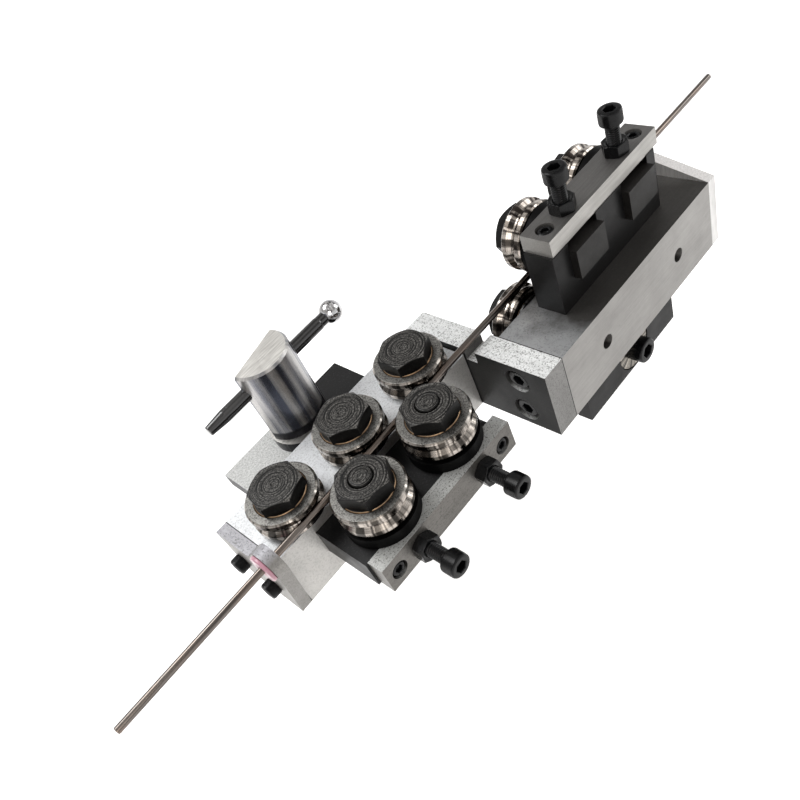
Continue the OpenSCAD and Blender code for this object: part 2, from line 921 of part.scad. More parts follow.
on_a() ball_knob_node();  // ball_knob_a
on_a() cam_washer_node();  // cam_washer_a
on_a() cam_screw_node();  // cam_screw_a

on_b() fixed_roller_node(0);  // roller_b1
on_b() fixed_roller_node(1);  // roller_b2
on_b() fixed_roller_node(2);  // roller_b3
on_b() carried_roller_node(0);  // roller_b4
on_b() carried_roller_node(1);  // roller_b5
on_b() carrier_node(0);  // carrier_b1
on_b() carrier_node(1);  // carrier_b2
on_b() stud_node(0);  // stud_b1
on_b() stud_node(1);  // stud_b2
on_b() nut_node(0);  // nut_b1
on_b() nut_node(1);  // nut_b2
on_b() bearing_node(0);  // bearing_b1
on_b() bearing_node(1);  // bearing_b2
on_b() slide_node();  // slide_b
on_b() adjusting_bar_node();  // adjusting_bar_b
on_b() bar_screws_node();  // bar_screws_b
on_b() lock_nuts_node();  // lock_nuts_b
on_b() adjusting_screw_node(0);  // adjusting_screw_b1
on_b() adjusting_screw_node(1);  // adjusting_screw_b2
on_b() cam_hub_node();  // cam_hub_b
on_b() lever_bar_node();  // lever_bar_b
on_b() ball_knob_node();  // ball_knob_b
on_b() cam_washer_node();  // cam_washer_b
on_b() cam_screw_node();  // cam_screw_b
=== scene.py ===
"""Wire straightener: detailed pieces, materials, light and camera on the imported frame.

Lengths in the tables and mesh builders are millimetres, and become metres when a mesh is
made. Inside a material lengths are metres, as its coordinates are, and noise scales are
per metre. Each station has its own frame, as in the CAD: X along the wire from the middle
roller, Y from the wire towards the block, Z up along the rollers.
"""

import bmesh
import bpy
import math
from collections import namedtuple
from mathutils import Euler, Matrix, Vector


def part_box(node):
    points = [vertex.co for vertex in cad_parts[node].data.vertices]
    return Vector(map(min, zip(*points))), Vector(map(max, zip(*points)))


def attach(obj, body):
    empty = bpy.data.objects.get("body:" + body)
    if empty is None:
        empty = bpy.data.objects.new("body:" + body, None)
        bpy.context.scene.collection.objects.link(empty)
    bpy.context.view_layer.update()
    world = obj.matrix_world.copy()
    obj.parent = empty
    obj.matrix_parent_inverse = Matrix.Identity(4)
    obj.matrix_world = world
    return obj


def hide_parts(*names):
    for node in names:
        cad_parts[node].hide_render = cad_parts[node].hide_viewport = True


MM = 0.001
TAU = 2 * math.pi

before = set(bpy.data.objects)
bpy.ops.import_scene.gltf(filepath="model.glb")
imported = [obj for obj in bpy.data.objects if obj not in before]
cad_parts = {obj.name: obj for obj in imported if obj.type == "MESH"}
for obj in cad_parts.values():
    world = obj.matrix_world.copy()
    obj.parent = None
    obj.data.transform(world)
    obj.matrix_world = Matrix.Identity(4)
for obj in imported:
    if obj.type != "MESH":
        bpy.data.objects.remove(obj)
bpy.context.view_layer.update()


# ---------------------------------------------------------------- frames


def station_frame(tag, turn):
    """Matrix of a station: its middle roller's place on the wire, turned about the wire."""
    wire_low, wire_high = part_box("wire")
    low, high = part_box(f"roller_{tag}2")
    axis = (wire_low + wire_high) / 2
    return Matrix.Translation(((low.x + high.x) / 2, axis.y, axis.z)) @ Matrix.Rotation(turn, 4, "X")


STATIONS = {"a": station_frame("a", 0.0), "b": station_frame("b", -math.pi / 2)}

TO_FRONT = Matrix.Rotation(math.pi / 2, 4, "X")  # local +Z points to the station's -Y
TO_FEED = Matrix.Rotation(math.pi / 2, 4, "Y")  # local +Z points along the feed
AGAINST_FEED = Matrix.Rotation(-math.pi / 2, 4, "Y")  # local +Z points against the feed
DOWN = Matrix.Rotation(math.pi, 4, "X")  # local +Z points to the station's -Z


def local_box(tag, node):
    """Lowest and highest corner of a CAD node in its station's frame, in millimetres."""
    inverse = STATIONS[tag].inverted()
    a, b = (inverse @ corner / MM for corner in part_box(node))
    return Vector(map(min, a, b)), Vector(map(max, a, b))


def local_centre(tag, node):
    """Middle of a CAD node in its station's frame, in millimetres."""
    low, high = local_box(tag, node)
    return (low + high) / 2


def at(tag, centre, turn=None):
    """Matrix of a place in a station's frame, given in millimetres."""
    matrix = STATIONS[tag] @ Matrix.Translation(Vector(centre) * MM)
    return matrix @ turn if turn else matrix


# ---------------------------------------------------------------- sizes

ROLLER_R = 20.0
ROLLER_HALF = 6.5  # half of a roller's width; its middle plane is z = 0
ROLLER_BEVEL = 1.0
GROOVE_ROOT = 18.0
GROOVE_HALF = 2.9
GROOVE_FLAT = 0.6  # half width of the groove's root
BEARING_R = 14.45
BEARING_LOW, BEARING_HIGH = -6.9, 7.0
BORE_R = 8.05
SHOULDER_R = 8.0  # axle where it carries the bearing
SHANK_R = 6.0  # axle where it enters block or carrier
COLLAR_LOW, COLLAR_R = -9.5, 16.5
BOLT_TIP, BOLT_TOP = -42.0, 14.0
STUD_TIP, STUD_SHOULDER, STUD_TOP = -21.4, -8.4, 16.0
NUT_TOP = 15.0
HEAD_FLATS = 26.5

CapScrew = namedtuple("CapScrew", "diameter head_d head_h socket knurls")
M5 = CapScrew(5, 8.5, 5, 4, 32)
M6 = CapScrew(6, 10, 6, 5, 36)
M8 = CapScrew(8, 13, 8, 6, 44)
M10 = CapScrew(10, 16, 10, 8, 52)
M8_PITCH = 1.25
M8_NUT_FLATS = 13
JOURNAL_R, JOURNAL_LENGTH = 3.0, 6.1  # plain tip of an adjusting screw, held in its carrier
END_GRIP, CROSS_GRIP, PIVOT_GRIP = 19, 20, 20  # lengths under the head
END_SPACING, CROSS_SPACING = 27.6, 23.0
CROSS_SEAT = 9.0  # seat of the joining plate's heads, below each of its faces
SCREW_ROW, SCREW_LEVEL = 27.75, -30.0  # y and z midway between two end screws
CROSS_WELL_R, BAR_WELL_R = 7.85, 5.1  # recesses as the materials paint shade into them

WIRE_R = 2.0
GUIDE_BORE_R, SLEEVE_R = 2.6, 6.45
LEVER_R, LEVER_NECK_R = 4.0, 3.75
BALL_CUT = 0.83  # distance of the ball's flat from its centre as a share of its radius
BALL_MOUTH = 3.95  # radius at which the ball's round begins
WASHER_R, WASHER_BORE_R, WASHER_THICK = 15.0, 5.1, 3.0

# Turn of each axle head and lock nut as it was left after tightening, in degrees
HEAD_TURNS = {"a1": 21, "a2": 19, "a3": 31, "a4": 51, "a5": 6,
              "b1": 43, "b2": 17, "b3": 5, "b4": 1, "b5": 35}
LOCK_NUT_TURNS = {1: 28, 2: 45}
FIXED = (1, 2, 3)  # rollers on the block
CARRIED = (1, 2)  # carriers, which hold rollers 4 and 5


# ---------------------------------------------------------------- mesh builders

WELD_DISTANCE = 1e-7  # metres
THREAD_DEPTH = 0.55
RINGS_PER_TURN = 8
HEX_FACE = 0.993  # radius of a turned face as a share of half the flats
HEX_SLOPE = math.tan(math.radians(30))
HEX_EDGE = 0.12  # softened edge of the turned face
HEX_FOOT = 0.15  # softened edge of a head's underside
KNURL_DEPTH = 0.22
SOCKET_DEPTH = 0.45  # share of the head's height
ARC_STEPS = 3
ARC_SUPPORT = 0.12


def make_mesh(name, verts, faces, sharp):
    """Mesh from millimetres, smooth except where faces meet above an angle in degrees."""
    mesh = bpy.data.meshes.new(name)
    mesh.from_pydata([Vector(v) * MM for v in verts], [], faces)
    bm = bmesh.new()
    bm.from_mesh(mesh)
    bmesh.ops.remove_doubles(bm, verts=bm.verts, dist=WELD_DISTANCE)
    bmesh.ops.recalc_face_normals(bm, faces=bm.faces)
    bm.to_mesh(mesh)
    bm.free()
    mesh.shade_smooth()
    mesh.set_sharp_from_angle(angle=math.radians(sharp))
    return mesh


def rounded(profile, radius):
    """Profile of (radius, height) points with its corners rounded by short arcs. A point
    close to each end of an arc keeps the straight runs flat under smooth shading."""
    points = [Vector(p) for p in profile]
    out = [points[0]]
    for before, corner, after in zip(points, points[1:], points[2:]):
        a, b = before - corner, after - corner
        cut = min(radius, a.length * 0.4, b.length * 0.4)
        start, end = corner + a.normalized() * cut, corner + b.normalized() * cut
        out.append(start + a.normalized() * min(ARC_SUPPORT, (a.length - cut) * 0.3))
        for i in range(ARC_STEPS + 1):
            t = i / ARC_STEPS
            out.append(start * (1 - t) ** 2 + corner * 2 * t * (1 - t) + end * t**2)
        out.append(end + b.normalized() * min(ARC_SUPPORT, (b.length - cut) * 0.3))
    out.append(points[-1])
    return [tuple(p) for p in out]


def loft(name, rings, count, sharp):
    """Rings of (radius, height) round Z joined to a skin. Radius and height may be
    functions of the angle. A ring of radius 0 closes an end."""
    verts, faces = [], []
    for radius, height in rings:
        for i in range(count):
            angle = TAU * i / count
            r = radius(angle) if callable(radius) else radius
            z = height(angle) if callable(height) else height
            verts.append((r * math.cos(angle), r * math.sin(angle), z))
    for k in range(len(rings) - 1):
        a, b = k * count, (k + 1) * count
        for i in range(count):
            j = (i + 1) % count
            faces.append((a + i, a + j, b + j, b + i))
    return make_mesh(name, verts, faces, sharp)


def lathe(name, profile, count, radius, sharp):
    """Profile turned round Z, with its corners rounded by a radius."""
    return loft(name, rounded(profile, radius), count, sharp)


def hexagon_radius(flats, angle):
    """Distance from the centre to a hexagon's side at an angle; a corner lies at angle 0."""
    turned = (angle % (TAU / 6)) - TAU / 12
    return flats / 2 / math.cos(turned)


def hexagon_rings(flats, low, high, both=False):
    """Rings of a hexagon whose upper corners are turned down by a cone, or its lower
    corners as well."""
    face = flats / 2 * HEX_FACE

    def side(angle):
        return hexagon_radius(flats, angle)

    def inside(angle):
        return side(angle) - HEX_EDGE

    def drop(angle):
        return max(0.0, side(angle) - face) * HEX_SLOPE

    rings = [(0, low)]
    if both:
        rings += [(face, low), (inside, lambda a: low + drop(a) - HEX_EDGE / 2)]
        rings += [(side, lambda a: low + drop(a) + HEX_EDGE)]
    else:
        rings += [(lambda a: side(a) - HEX_FOOT, low), (side, low + HEX_FOOT)]
    rings += [(side, lambda a: high - drop(a) - HEX_EDGE)]
    rings += [(inside, lambda a: high - drop(a) + HEX_EDGE / 2)]
    return rings + [(face, high - 0.02), (face - 0.3, high)]


def threaded_rings(radius, pitch, low, high):
    """Rings of a V thread: the radius follows a helix and fades out at both ends."""
    count = max(2, int((high - low) / pitch * RINGS_PER_TURN))
    heights = [low + (high - low) * i / count for i in range(count + 1)]

    def radius_at(z):
        fade = min(1.0, (high - z) / pitch, (z - low) / pitch)

        def at_angle(angle):
            phase = ((z / pitch) - angle / TAU) % 1.0
            ridge = abs(phase * 2 - 1)
            return radius - THREAD_DEPTH * max(0.0, fade) * (1 - ridge)

        return at_angle

    return [(radius_at(z), z) for z in heights]


def socket_head_rings(screw):
    """Cap screw head standing on z = 0: knurled side, hexagon socket in its top."""
    r, height = screw.head_d / 2, screw.head_h

    def knurled(angle):
        return r - KNURL_DEPTH * (0.5 + 0.5 * math.cos(angle * screw.knurls)) ** 2

    def wall(angle):
        return hexagon_radius(screw.socket, angle)

    floor = height - height * SOCKET_DEPTH
    return [
        (0, 0), (r - 0.5, 0), (r - 0.25, 0.2), (knurled, 0.8), (knurled, height - 1.4),
        (r - 0.05, height - 1.1), (r - 0.25, height - 0.45), (r - 0.8, height - 0.05),
        (r - 1.2, height), (lambda a: wall(a) + 0.5, height), (lambda a: wall(a) + 0.05, height - 0.35),
        (wall, height - 0.7), (wall, floor), (screw.socket * 0.36, floor - 0.6), (0, floor - 1.0),
    ]


# ---------------------------------------------------------------- node trees

PRINCIPLED = {"base": "Base Color", "metallic": "Metallic", "roughness": "Roughness",
              "specular": "Specular IOR Level", "coat": "Coat Weight"}


def darker(colour, factor):
    """A colour with its parts multiplied by a factor."""
    return tuple(c * factor for c in colour)


class Tree:
    """Short calls for building the node tree of a material or a world."""

    def __init__(self, owner):
        owner.use_nodes = True
        self.tree = owner.node_tree
        self.tree.nodes.clear()

    def node(self, kind, **settings):
        """New shader node with the settings given."""
        node = self.tree.nodes.new("ShaderNode" + kind)
        for name, value in settings.items():
            setattr(node, name, value)
        return node

    def link(self, source, target):
        self.tree.links.new(source, target)

    def feed(self, socket, value):
        """Gives an input a link or a plain value."""
        if isinstance(value, bpy.types.NodeSocket):
            self.link(value, socket)
        else:
            socket.default_value = value

    def math(self, operation, a, b=0.0):
        node = self.node("Math", operation=operation)
        self.feed(node.inputs[0], a)
        self.feed(node.inputs[1], b)
        return node.outputs[0]

    def times(self, a, b):
        return self.math("MULTIPLY", a, b)

    def ramp(self, value, low, high, out_low=0.0, out_high=1.0):
        """A value's range from low to high spread over another range, and held beyond it."""
        node = self.node("MapRange")
        for socket, number in zip(node.inputs, (value, low, high, out_low, out_high)):
            self.feed(socket, number)
        return node.outputs[0]

    def mix(self, factor, a, b, blend="MIX"):
        """Two colours mixed by a factor. Each is a link or three numbers."""
        node = self.node("Mix", data_type="RGBA", blend_type=blend)
        for index, value in zip((0, 6, 7), (factor, a, b)):
            self.feed(node.inputs[index], (*value, 1.0) if isinstance(value, tuple) else value)
        return node.outputs[2]

    def scaled(self, vector, scale):
        node = self.node("Mapping")
        node.inputs["Scale"].default_value = scale
        self.link(vector, node.inputs["Vector"])
        return node.outputs[0]

    def noise(self, vector, detail, rough):
        node = self.node("TexNoise")
        self.link(vector, node.inputs["Vector"])
        node.inputs["Scale"].default_value = 1.0
        node.inputs["Detail"].default_value = detail
        node.inputs["Roughness"].default_value = rough
        return node.outputs[0]

    def parts(self, vector):
        """The x, y and z of a vector."""
        split = self.node("SeparateXYZ")
        self.link(vector, split.inputs[0])
        return split.outputs

    def joined(self, x, y, z):
        node = self.node("CombineXYZ")
        for socket, value in zip(node.inputs, (x, y, z)):
            self.feed(socket, value)
        return node.outputs[0]

    def seen(self):
        """1 for rays from the camera, and for those that reach it by mirrors or glass."""
        path = self.node("LightPath").outputs
        mirrored = self.math("MAXIMUM", path["Is Glossy Ray"], path["Is Transmission Ray"])
        return self.math("MAXIMUM", path["Is Camera Ray"], mirrored)


class Nodes(Tree):
    """Node tree of a material. With a place, its coordinates and normal are those of that
    frame, otherwise those of the object itself."""

    def __init__(self, name, place=None):
        self.material = bpy.data.materials.new(name)
        super().__init__(self.material)
        self.output = self.node("OutputMaterial")
        self.shader = self.node("BsdfPrincipled")
        self.link(self.shader.outputs[0], self.output.inputs[0])
        source = self.node("TexCoord").outputs
        self.coords, self.normal = source["Object"], source["Normal"]
        if place:
            self.coords = self.within(self.coords, place)
            self.normal = self.within(self.normal, place.to_3x3().to_4x4())

    def within(self, vector, place):
        """A vector of the row frame as it is seen in the frame of a place."""
        node = self.node("Mapping", vector_type="TEXTURE")
        node.inputs["Location"].default_value = place.to_translation()
        node.inputs["Rotation"].default_value = place.to_euler()
        self.link(vector, node.inputs["Vector"])
        return node.outputs[0]

    def grain(self, scale, detail, rough):
        """Noise over the piece; scale is one number or one for each axis."""
        scale = scale if isinstance(scale, tuple) else (scale, scale, scale)
        return self.noise(self.scaled(self.coords, scale), detail, rough)

    def polar(self):
        """Radius from the local Z axis, the angle in radians and the height."""
        x, y, z = self.parts(self.coords)
        radius = self.math("SQRT", self.math("ADD", self.times(x, x), self.times(y, y)))
        return radius, self.math("ARCTAN2", y, x), z

    def axis(self, name):
        """The x, y or z coordinate."""
        return self.parts(self.coords)["xyz".index(name)]

    def facing(self, side):
        """1 where the surface faces a side such as "+z" of its own frame, otherwise 0."""
        sign = 1 if side[0] == "+" else -1
        return self.ramp(self.parts(self.normal)["xyz".index(side[1])], 0.6 * sign, 0.9 * sign)

    def bump(self, height, strength, distance):
        """Bump with a distance in millimetres."""
        node = self.node("Bump")
        node.inputs["Strength"].default_value = strength
        node.inputs["Distance"].default_value = distance * MM
        self.link(height, node.inputs["Height"])
        self.link(node.outputs[0], self.shader.inputs["Normal"])

    def set(self, **values):
        """Feeds the shader's inputs and returns the material."""
        for key, value in values.items():
            colour = isinstance(value, tuple)
            self.feed(self.shader.inputs[PRINCIPLED[key]], (*value, 1.0) if colour else value)
        return self.material


# ---------------------------------------------------------------- materials

ALONG = (0.05, 1, 1)  # grinding lines run along x
ACROSS = (1, 0.05, 1)  # grinding lines run along y
EVEN = (1, 1, 1)
PAINTED_LIGHT_BLEND = 0.012  # half width of the change to the painted lighter tone, and its waver
SEAM_EDGE, SEAM_CORE = 0.0006, 0.0004  # distances from a seam where its painted shade begins and is full
SEAM_SHADE_TONE = (0.012, 0.012, 0.012)
WELL_EDGE = 0.0003
WELL_SHADE_TONE = (0.006, 0.006, 0.006)
RUBBED_WAVER = 0.004
RUBBED_FROM, RUBBED_FULL = 0.052, 0.058  # y where the rubbed part of a slide begins


def with_seams(n, tone, seams):
    """A tone with painted shade at each x of seams, in the gap where the metal meets its neighbour."""
    for seam in seams:
        away = n.math("ABSOLUTE", n.math("SUBTRACT", n.axis("x"), seam))
        tone = n.mix(n.ramp(away, SEAM_EDGE, SEAM_CORE), tone, SEAM_SHADE_TONE)
    return tone


def with_wells(n, tone, wells):
    """A tone with painted shade inside each well: two axes, a centre on them and a radius."""
    for axes, centre, radius in wells:
        across = [n.math("SUBTRACT", n.axis(axis), number) for axis, number in zip(axes, centre)]
        reach = n.math("SQRT", n.math("ADD", *(n.times(part, part) for part in across)))
        tone = n.mix(n.ramp(reach, radius, radius - WELL_EDGE), tone, WELL_SHADE_TONE)
    return tone


def aluminium(name, place, side_light_tones, speck, grain=EVEN, lined=0.76, seams=(), pale=None, wells=()):
    """Aluminium with a tone for each side that shows, partly its finish and partly painted light
    and shade: each side lighter or darker as the light falls on it. All sides are ground along
    the grain, with pits and a cloudy bloom, and the +z and -y sides are blasted and speckled.
    With pale, an x and a tone, the -y side goes over to that painted lighter tone below the x."""
    n = Nodes(name, place)
    cloud = n.grain(38, 4, 0.6)
    fine = n.grain(1500, 2, 0.7)
    flecks = n.ramp(n.grain(1100, 3, 0.75), 0.52, 0.66)
    pits = n.ramp(n.grain(420, 4, 0.75), 0.63, 0.74)
    lines = n.grain(tuple(g * 1100 for g in grain), 3, 0.65)
    streaks = n.ramp(lines, 0.3, 0.72)
    other = side_light_tones["other"]
    tone = n.mix(streaks, other, darker(other, lined))
    # Each side's tone is painted light and shade as well as finish: sides that face the light are painted
    # lighter.
    for side, colour in side_light_tones.items():
        if side == "other":
            continue
        ground = n.mix(streaks, colour, darker(colour, lined))
        # Painted light: below the x, the -y side goes over to a lighter tone.
        if side == "-y" and pale:
            limit, painted_light_tone = pale
            reach = n.math("ADD", n.axis("x"), n.ramp(cloud, 0.3, 0.7, -PAINTED_LIGHT_BLEND, PAINTED_LIGHT_BLEND))
            ground = n.mix(n.ramp(reach, limit + PAINTED_LIGHT_BLEND, limit - PAINTED_LIGHT_BLEND), ground, painted_light_tone)
        tone = n.mix(n.facing(side), tone, ground)
    tone = n.mix(n.times(pits, 0.4), tone, darker(other, 0.35))
    blasted = n.math("MAXIMUM", n.facing("+z"), n.times(n.facing("-y"), 0.6))
    tone = n.mix(n.times(flecks, n.times(blasted, speck)), tone, darker(other, 0.3))
    tone = n.mix(n.ramp(cloud, 0.35, 0.75, 0.0, 0.14), tone, (0, 0, 0))
    tone = with_wells(n, with_seams(n, tone, seams), wells)
    n.bump(n.math("ADD", n.times(fine, 0.6), n.times(lines, 0.6)), 0.4, 0.08)
    metallic = n.math("SUBTRACT", 0.75, n.times(n.facing("+z"), 0.45))
    return n.set(base=tone, metallic=metallic, specular=0.25, roughness=n.ramp(cloud, 0.3, 0.7, 0.36, 0.5))


def black_oxide(name, place, base=(0.007, 0.007, 0.0075), spot=(0.06, 0.06, 0.062), amount=0.5,
                rough=0.42, gloss=0.2, bare=None, shade_above=None):
    """Oil-blacked steel with fine bright specks where the finish is thin. With bare, an x
    below which the upper side behind the block is rubbed bright. Above the z given for painted
    shade, the surface is painted dead black with its gloss cut, as shade under the rollers."""
    n = Nodes(name, place)
    spots = n.grain(900, 3, 0.75)
    worn = n.grain(70, 3, 0.6)
    flecks = n.times(n.ramp(spots, 0.54, 0.7), n.ramp(worn, 0.35, 0.7, 0.35, 1.0))
    tone = n.mix(n.times(flecks, amount), base, spot)
    if bare is not None:
        rubbed = n.math("ADD", n.axis("x"), n.ramp(worn, 0.3, 0.7, -RUBBED_WAVER, RUBBED_WAVER))
        bright = n.mix(n.ramp(spots, 0.4, 0.7), (0.66, 0.67, 0.665), (0.3, 0.31, 0.305))
        behind = n.ramp(n.axis("y"), RUBBED_FROM, RUBBED_FULL)
        part = n.times(n.ramp(rubbed, bare + 0.002, bare - 0.002), behind)
        tone = n.mix(n.times(part, n.facing("+z")), tone, bright)
    # Painted shade: above the z, the carriers under the rollers are painted dead black and lose most gloss.
    if shade_above is not None:
        above = n.ramp(n.axis("z"), shade_above, shade_above + 0.0005)
        tone = n.mix(above, tone, (0.001, 0.001, 0.001))
        gloss = n.math("SUBTRACT", gloss, n.times(above, gloss * 0.8))
    n.bump(spots, 0.3, 0.06)
    roughness = n.ramp(worn, 0.3, 0.7, rough - 0.06, rough + 0.08)
    return n.set(base=tone, metallic=0.0, specular=gloss, roughness=roughness)


def turned_black(name):
    """Blacked axle heads: fine turned rings on the face, which is painted lighter than the dark flats."""
    n = Nodes(name)
    radius, angle, _ = n.polar()
    rings = n.noise(n.joined(n.times(radius, 1500), n.times(angle, 0.35), 0.0), 2, 0.6)
    spots = n.grain(1000, 2, 0.7)
    light = n.times(n.ramp(rings, 0.42, 0.62), n.ramp(spots, 0.36, 0.62))
    # Painted light: the turned face is painted far lighter than the flats, as the top catches the light.
    top = n.mix(light, (0.003, 0.003, 0.003), (0.17, 0.165, 0.155))
    flat = n.mix(n.ramp(spots, 0.45, 0.75, 0.0, 0.4), (0.002, 0.002, 0.002), (0.02, 0.019, 0.018))
    n.bump(rings, 0.6, 0.12)
    return n.set(base=n.mix(n.facing("+z"), flat, top), metallic=0.0, specular=0.16, roughness=0.38)


def turned_steel(name, tone_a, tone_b, rough, face=None):
    """Lathe-turned steel: fine rings round the local Z axis, and darker streaks across them
    that are painted reflections. With face, the side towards +z is gritty and dull in that tone."""
    n = Nodes(name)
    radius, angle, height = n.polar()
    fine = n.noise(n.joined(n.times(radius, 2200), n.times(angle, 0.4), n.times(height, 2200)), 3, 0.6)
    stain = n.grain(110, 3, 0.6)
    # Painted reflection: dark bands that run up the turned side, as of a dark room between bright windows.
    streaks = n.noise(n.joined(n.times(angle, 4.2), n.times(height, 14.0), 0.0), 2, 0.6)
    tone = n.mix(n.ramp(fine, 0.35, 0.7), tone_a, tone_b)
    tone = n.mix(n.ramp(streaks, 0.44, 0.54), tone, darker(tone_b, 0.16))
    tone = n.mix(n.ramp(stain, 0.5, 0.8, 0.0, 0.35), tone, darker(tone_b, 0.6))
    roughness = n.ramp(stain, 0.3, 0.7, rough, rough + 0.12)
    if face:
        grit = n.grain(1300, 2, 0.7)
        dull = n.mix(n.ramp(fine, 0.35, 0.7), face, darker(face, 0.7))
        dull = n.mix(n.ramp(grit, 0.46, 0.62), dull, darker(face, 0.3))
        up = n.facing("+z")
        tone = n.mix(up, tone, dull)
        roughness = n.math("ADD", roughness, n.times(up, 0.25))
    n.bump(fine, 0.22, 0.05)
    return n.set(base=tone, metallic=1.0, roughness=roughness)


def brass_lined(name, radius_from):
    """Dark bearing steel with a thin brass line outside a radius."""
    n = Nodes(name)
    radius, _, _ = n.polar()
    brass = n.mix(n.ramp(n.grain(600, 3, 0.6), 0.35, 0.7), (0.4, 0.27, 0.16), (0.2, 0.13, 0.08))
    tone = n.mix(n.ramp(radius, radius_from, radius_from + 0.0001), (0.02, 0.019, 0.018), brass)
    return n.set(base=tone, metallic=0.8, roughness=0.4)


def drawn_steel(name, place):
    """Cam post: painted reflections as streaks that run up it, bluish and pale round it, with a
    flat brushed +y side, a pale top and a foot painted dark as shade."""
    n = Nodes(name, place)
    _, angle, height = n.polar()
    reflected_bands = n.noise(n.joined(n.times(angle, 2.6), 0.0, n.times(height, 5.0)), 2, 0.5)
    fine = n.noise(n.joined(n.times(angle, 70.0), 0.0, n.times(height, 14.0)), 3, 0.6)
    brushed = n.grain((90, 1100, 90), 3, 0.6)
    brush_lines = n.ramp(brushed, 0.35, 0.7)
    grit = n.grain(1500, 2, 0.7)
    # Painted reflection: bluish dark and pale bands that run up the post.
    tone = n.mix(n.ramp(reflected_bands, 0.42, 0.58), (0.1, 0.11, 0.145), (0.6, 0.585, 0.57))
    tone = n.mix(n.facing("+y"), tone, n.mix(brush_lines, (0.5, 0.49, 0.48), (0.3, 0.3, 0.3)))
    tone = n.mix(n.ramp(fine, 0.4, 0.75, 0.0, 0.6), tone, (0.12, 0.125, 0.15))
    tone = n.mix(n.ramp(grit, 0.5, 0.7, 0.0, 0.35), tone, (0.05, 0.05, 0.06))
    # Painted shade: the post's foot is painted dark.
    tone = n.mix(n.ramp(height, -0.0105, -0.012), tone, (0.02, 0.02, 0.024))
    top = n.mix(brush_lines, (0.66, 0.65, 0.62), (0.4, 0.39, 0.37))
    up = n.facing("+z")
    n.bump(n.mix(up, fine, brushed), 0.12, 0.05)
    rough = n.math("ADD", n.ramp(reflected_bands, 0.3, 0.7, 0.22, 0.34), n.times(up, 0.15))
    return n.set(base=n.mix(up, tone, top), metallic=0.9, roughness=rough)


def drawn_wire(name):
    """Steel wire along its local Z: lengthwise drawing lines and a warm tarnish."""
    n = Nodes(name)
    lines = n.grain((1600, 1600, 20), 3, 0.6)
    stain = n.grain((60, 60, 24), 3, 0.6)
    tone = n.mix(n.ramp(lines, 0.35, 0.7), (0.19, 0.17, 0.155), (0.06, 0.052, 0.047))
    tone = n.mix(n.ramp(stain, 0.45, 0.7, 0.0, 0.6), tone, (0.21, 0.145, 0.108))
    n.bump(lines, 0.12, 0.03)
    return n.set(base=tone, metallic=1.0, roughness=0.2)


def chrome(name):
    """Chromed ball, faintly hazed by handling."""
    n = Nodes(name)
    haze = n.grain(160, 3, 0.6)
    tone = n.mix(n.ramp(haze, 0.4, 0.75), (0.56, 0.56, 0.57), (0.4, 0.39, 0.38))
    n.bump(haze, 0.03, 0.03)
    return n.set(base=tone, metallic=1.0, roughness=n.ramp(haze, 0.35, 0.7, 0.06, 0.16))


def ceramic(name):
    """Pink glazed ceramic of the wire guides."""
    n = Nodes(name)
    haze = n.grain(260, 3, 0.6)
    tone = n.mix(n.ramp(haze, 0.35, 0.7), (0.56, 0.29, 0.35), (0.42, 0.19, 0.26))
    n.bump(haze, 0.08, 0.05)
    return n.set(base=tone, metallic=0.0, roughness=0.3, coat=0.4)


def pivot_frame(tag):
    """Frame on a station's cam pivot, level with the station's own."""
    centre = local_centre(tag, f"cam_washer_{tag}")
    return at(tag, (centre.x, centre.y, 0))


def block_ends(tag):
    """The x of both ends of a station's block, in metres."""
    return [corner.x * MM for corner in local_box(tag, f"block_{tag}")]


def wells_along_x():
    """Recesses of the joining plate's screws into block B, which lie along X."""
    low, _ = local_box("a", "cross_plate_screws")
    head = M8.head_d / 2
    level = (low.y + head) * MM
    return [("yz", (level, (low.z + head + step) * MM), CROSS_WELL_R * MM) for step in (0, CROSS_SPACING)]


def wells_along_y(tag):
    """Recesses of an adjusting bar's two screws, which lie along Y."""
    low, high = local_box(tag, f"bar_screws_{tag}")
    level = (low.z + high.z) / 2 * MM
    inset = (high.z - low.z) / 2
    return [("xz", (x * MM, level), BAR_WELL_R * MM) for x in (low.x + inset, high.x - inset)]


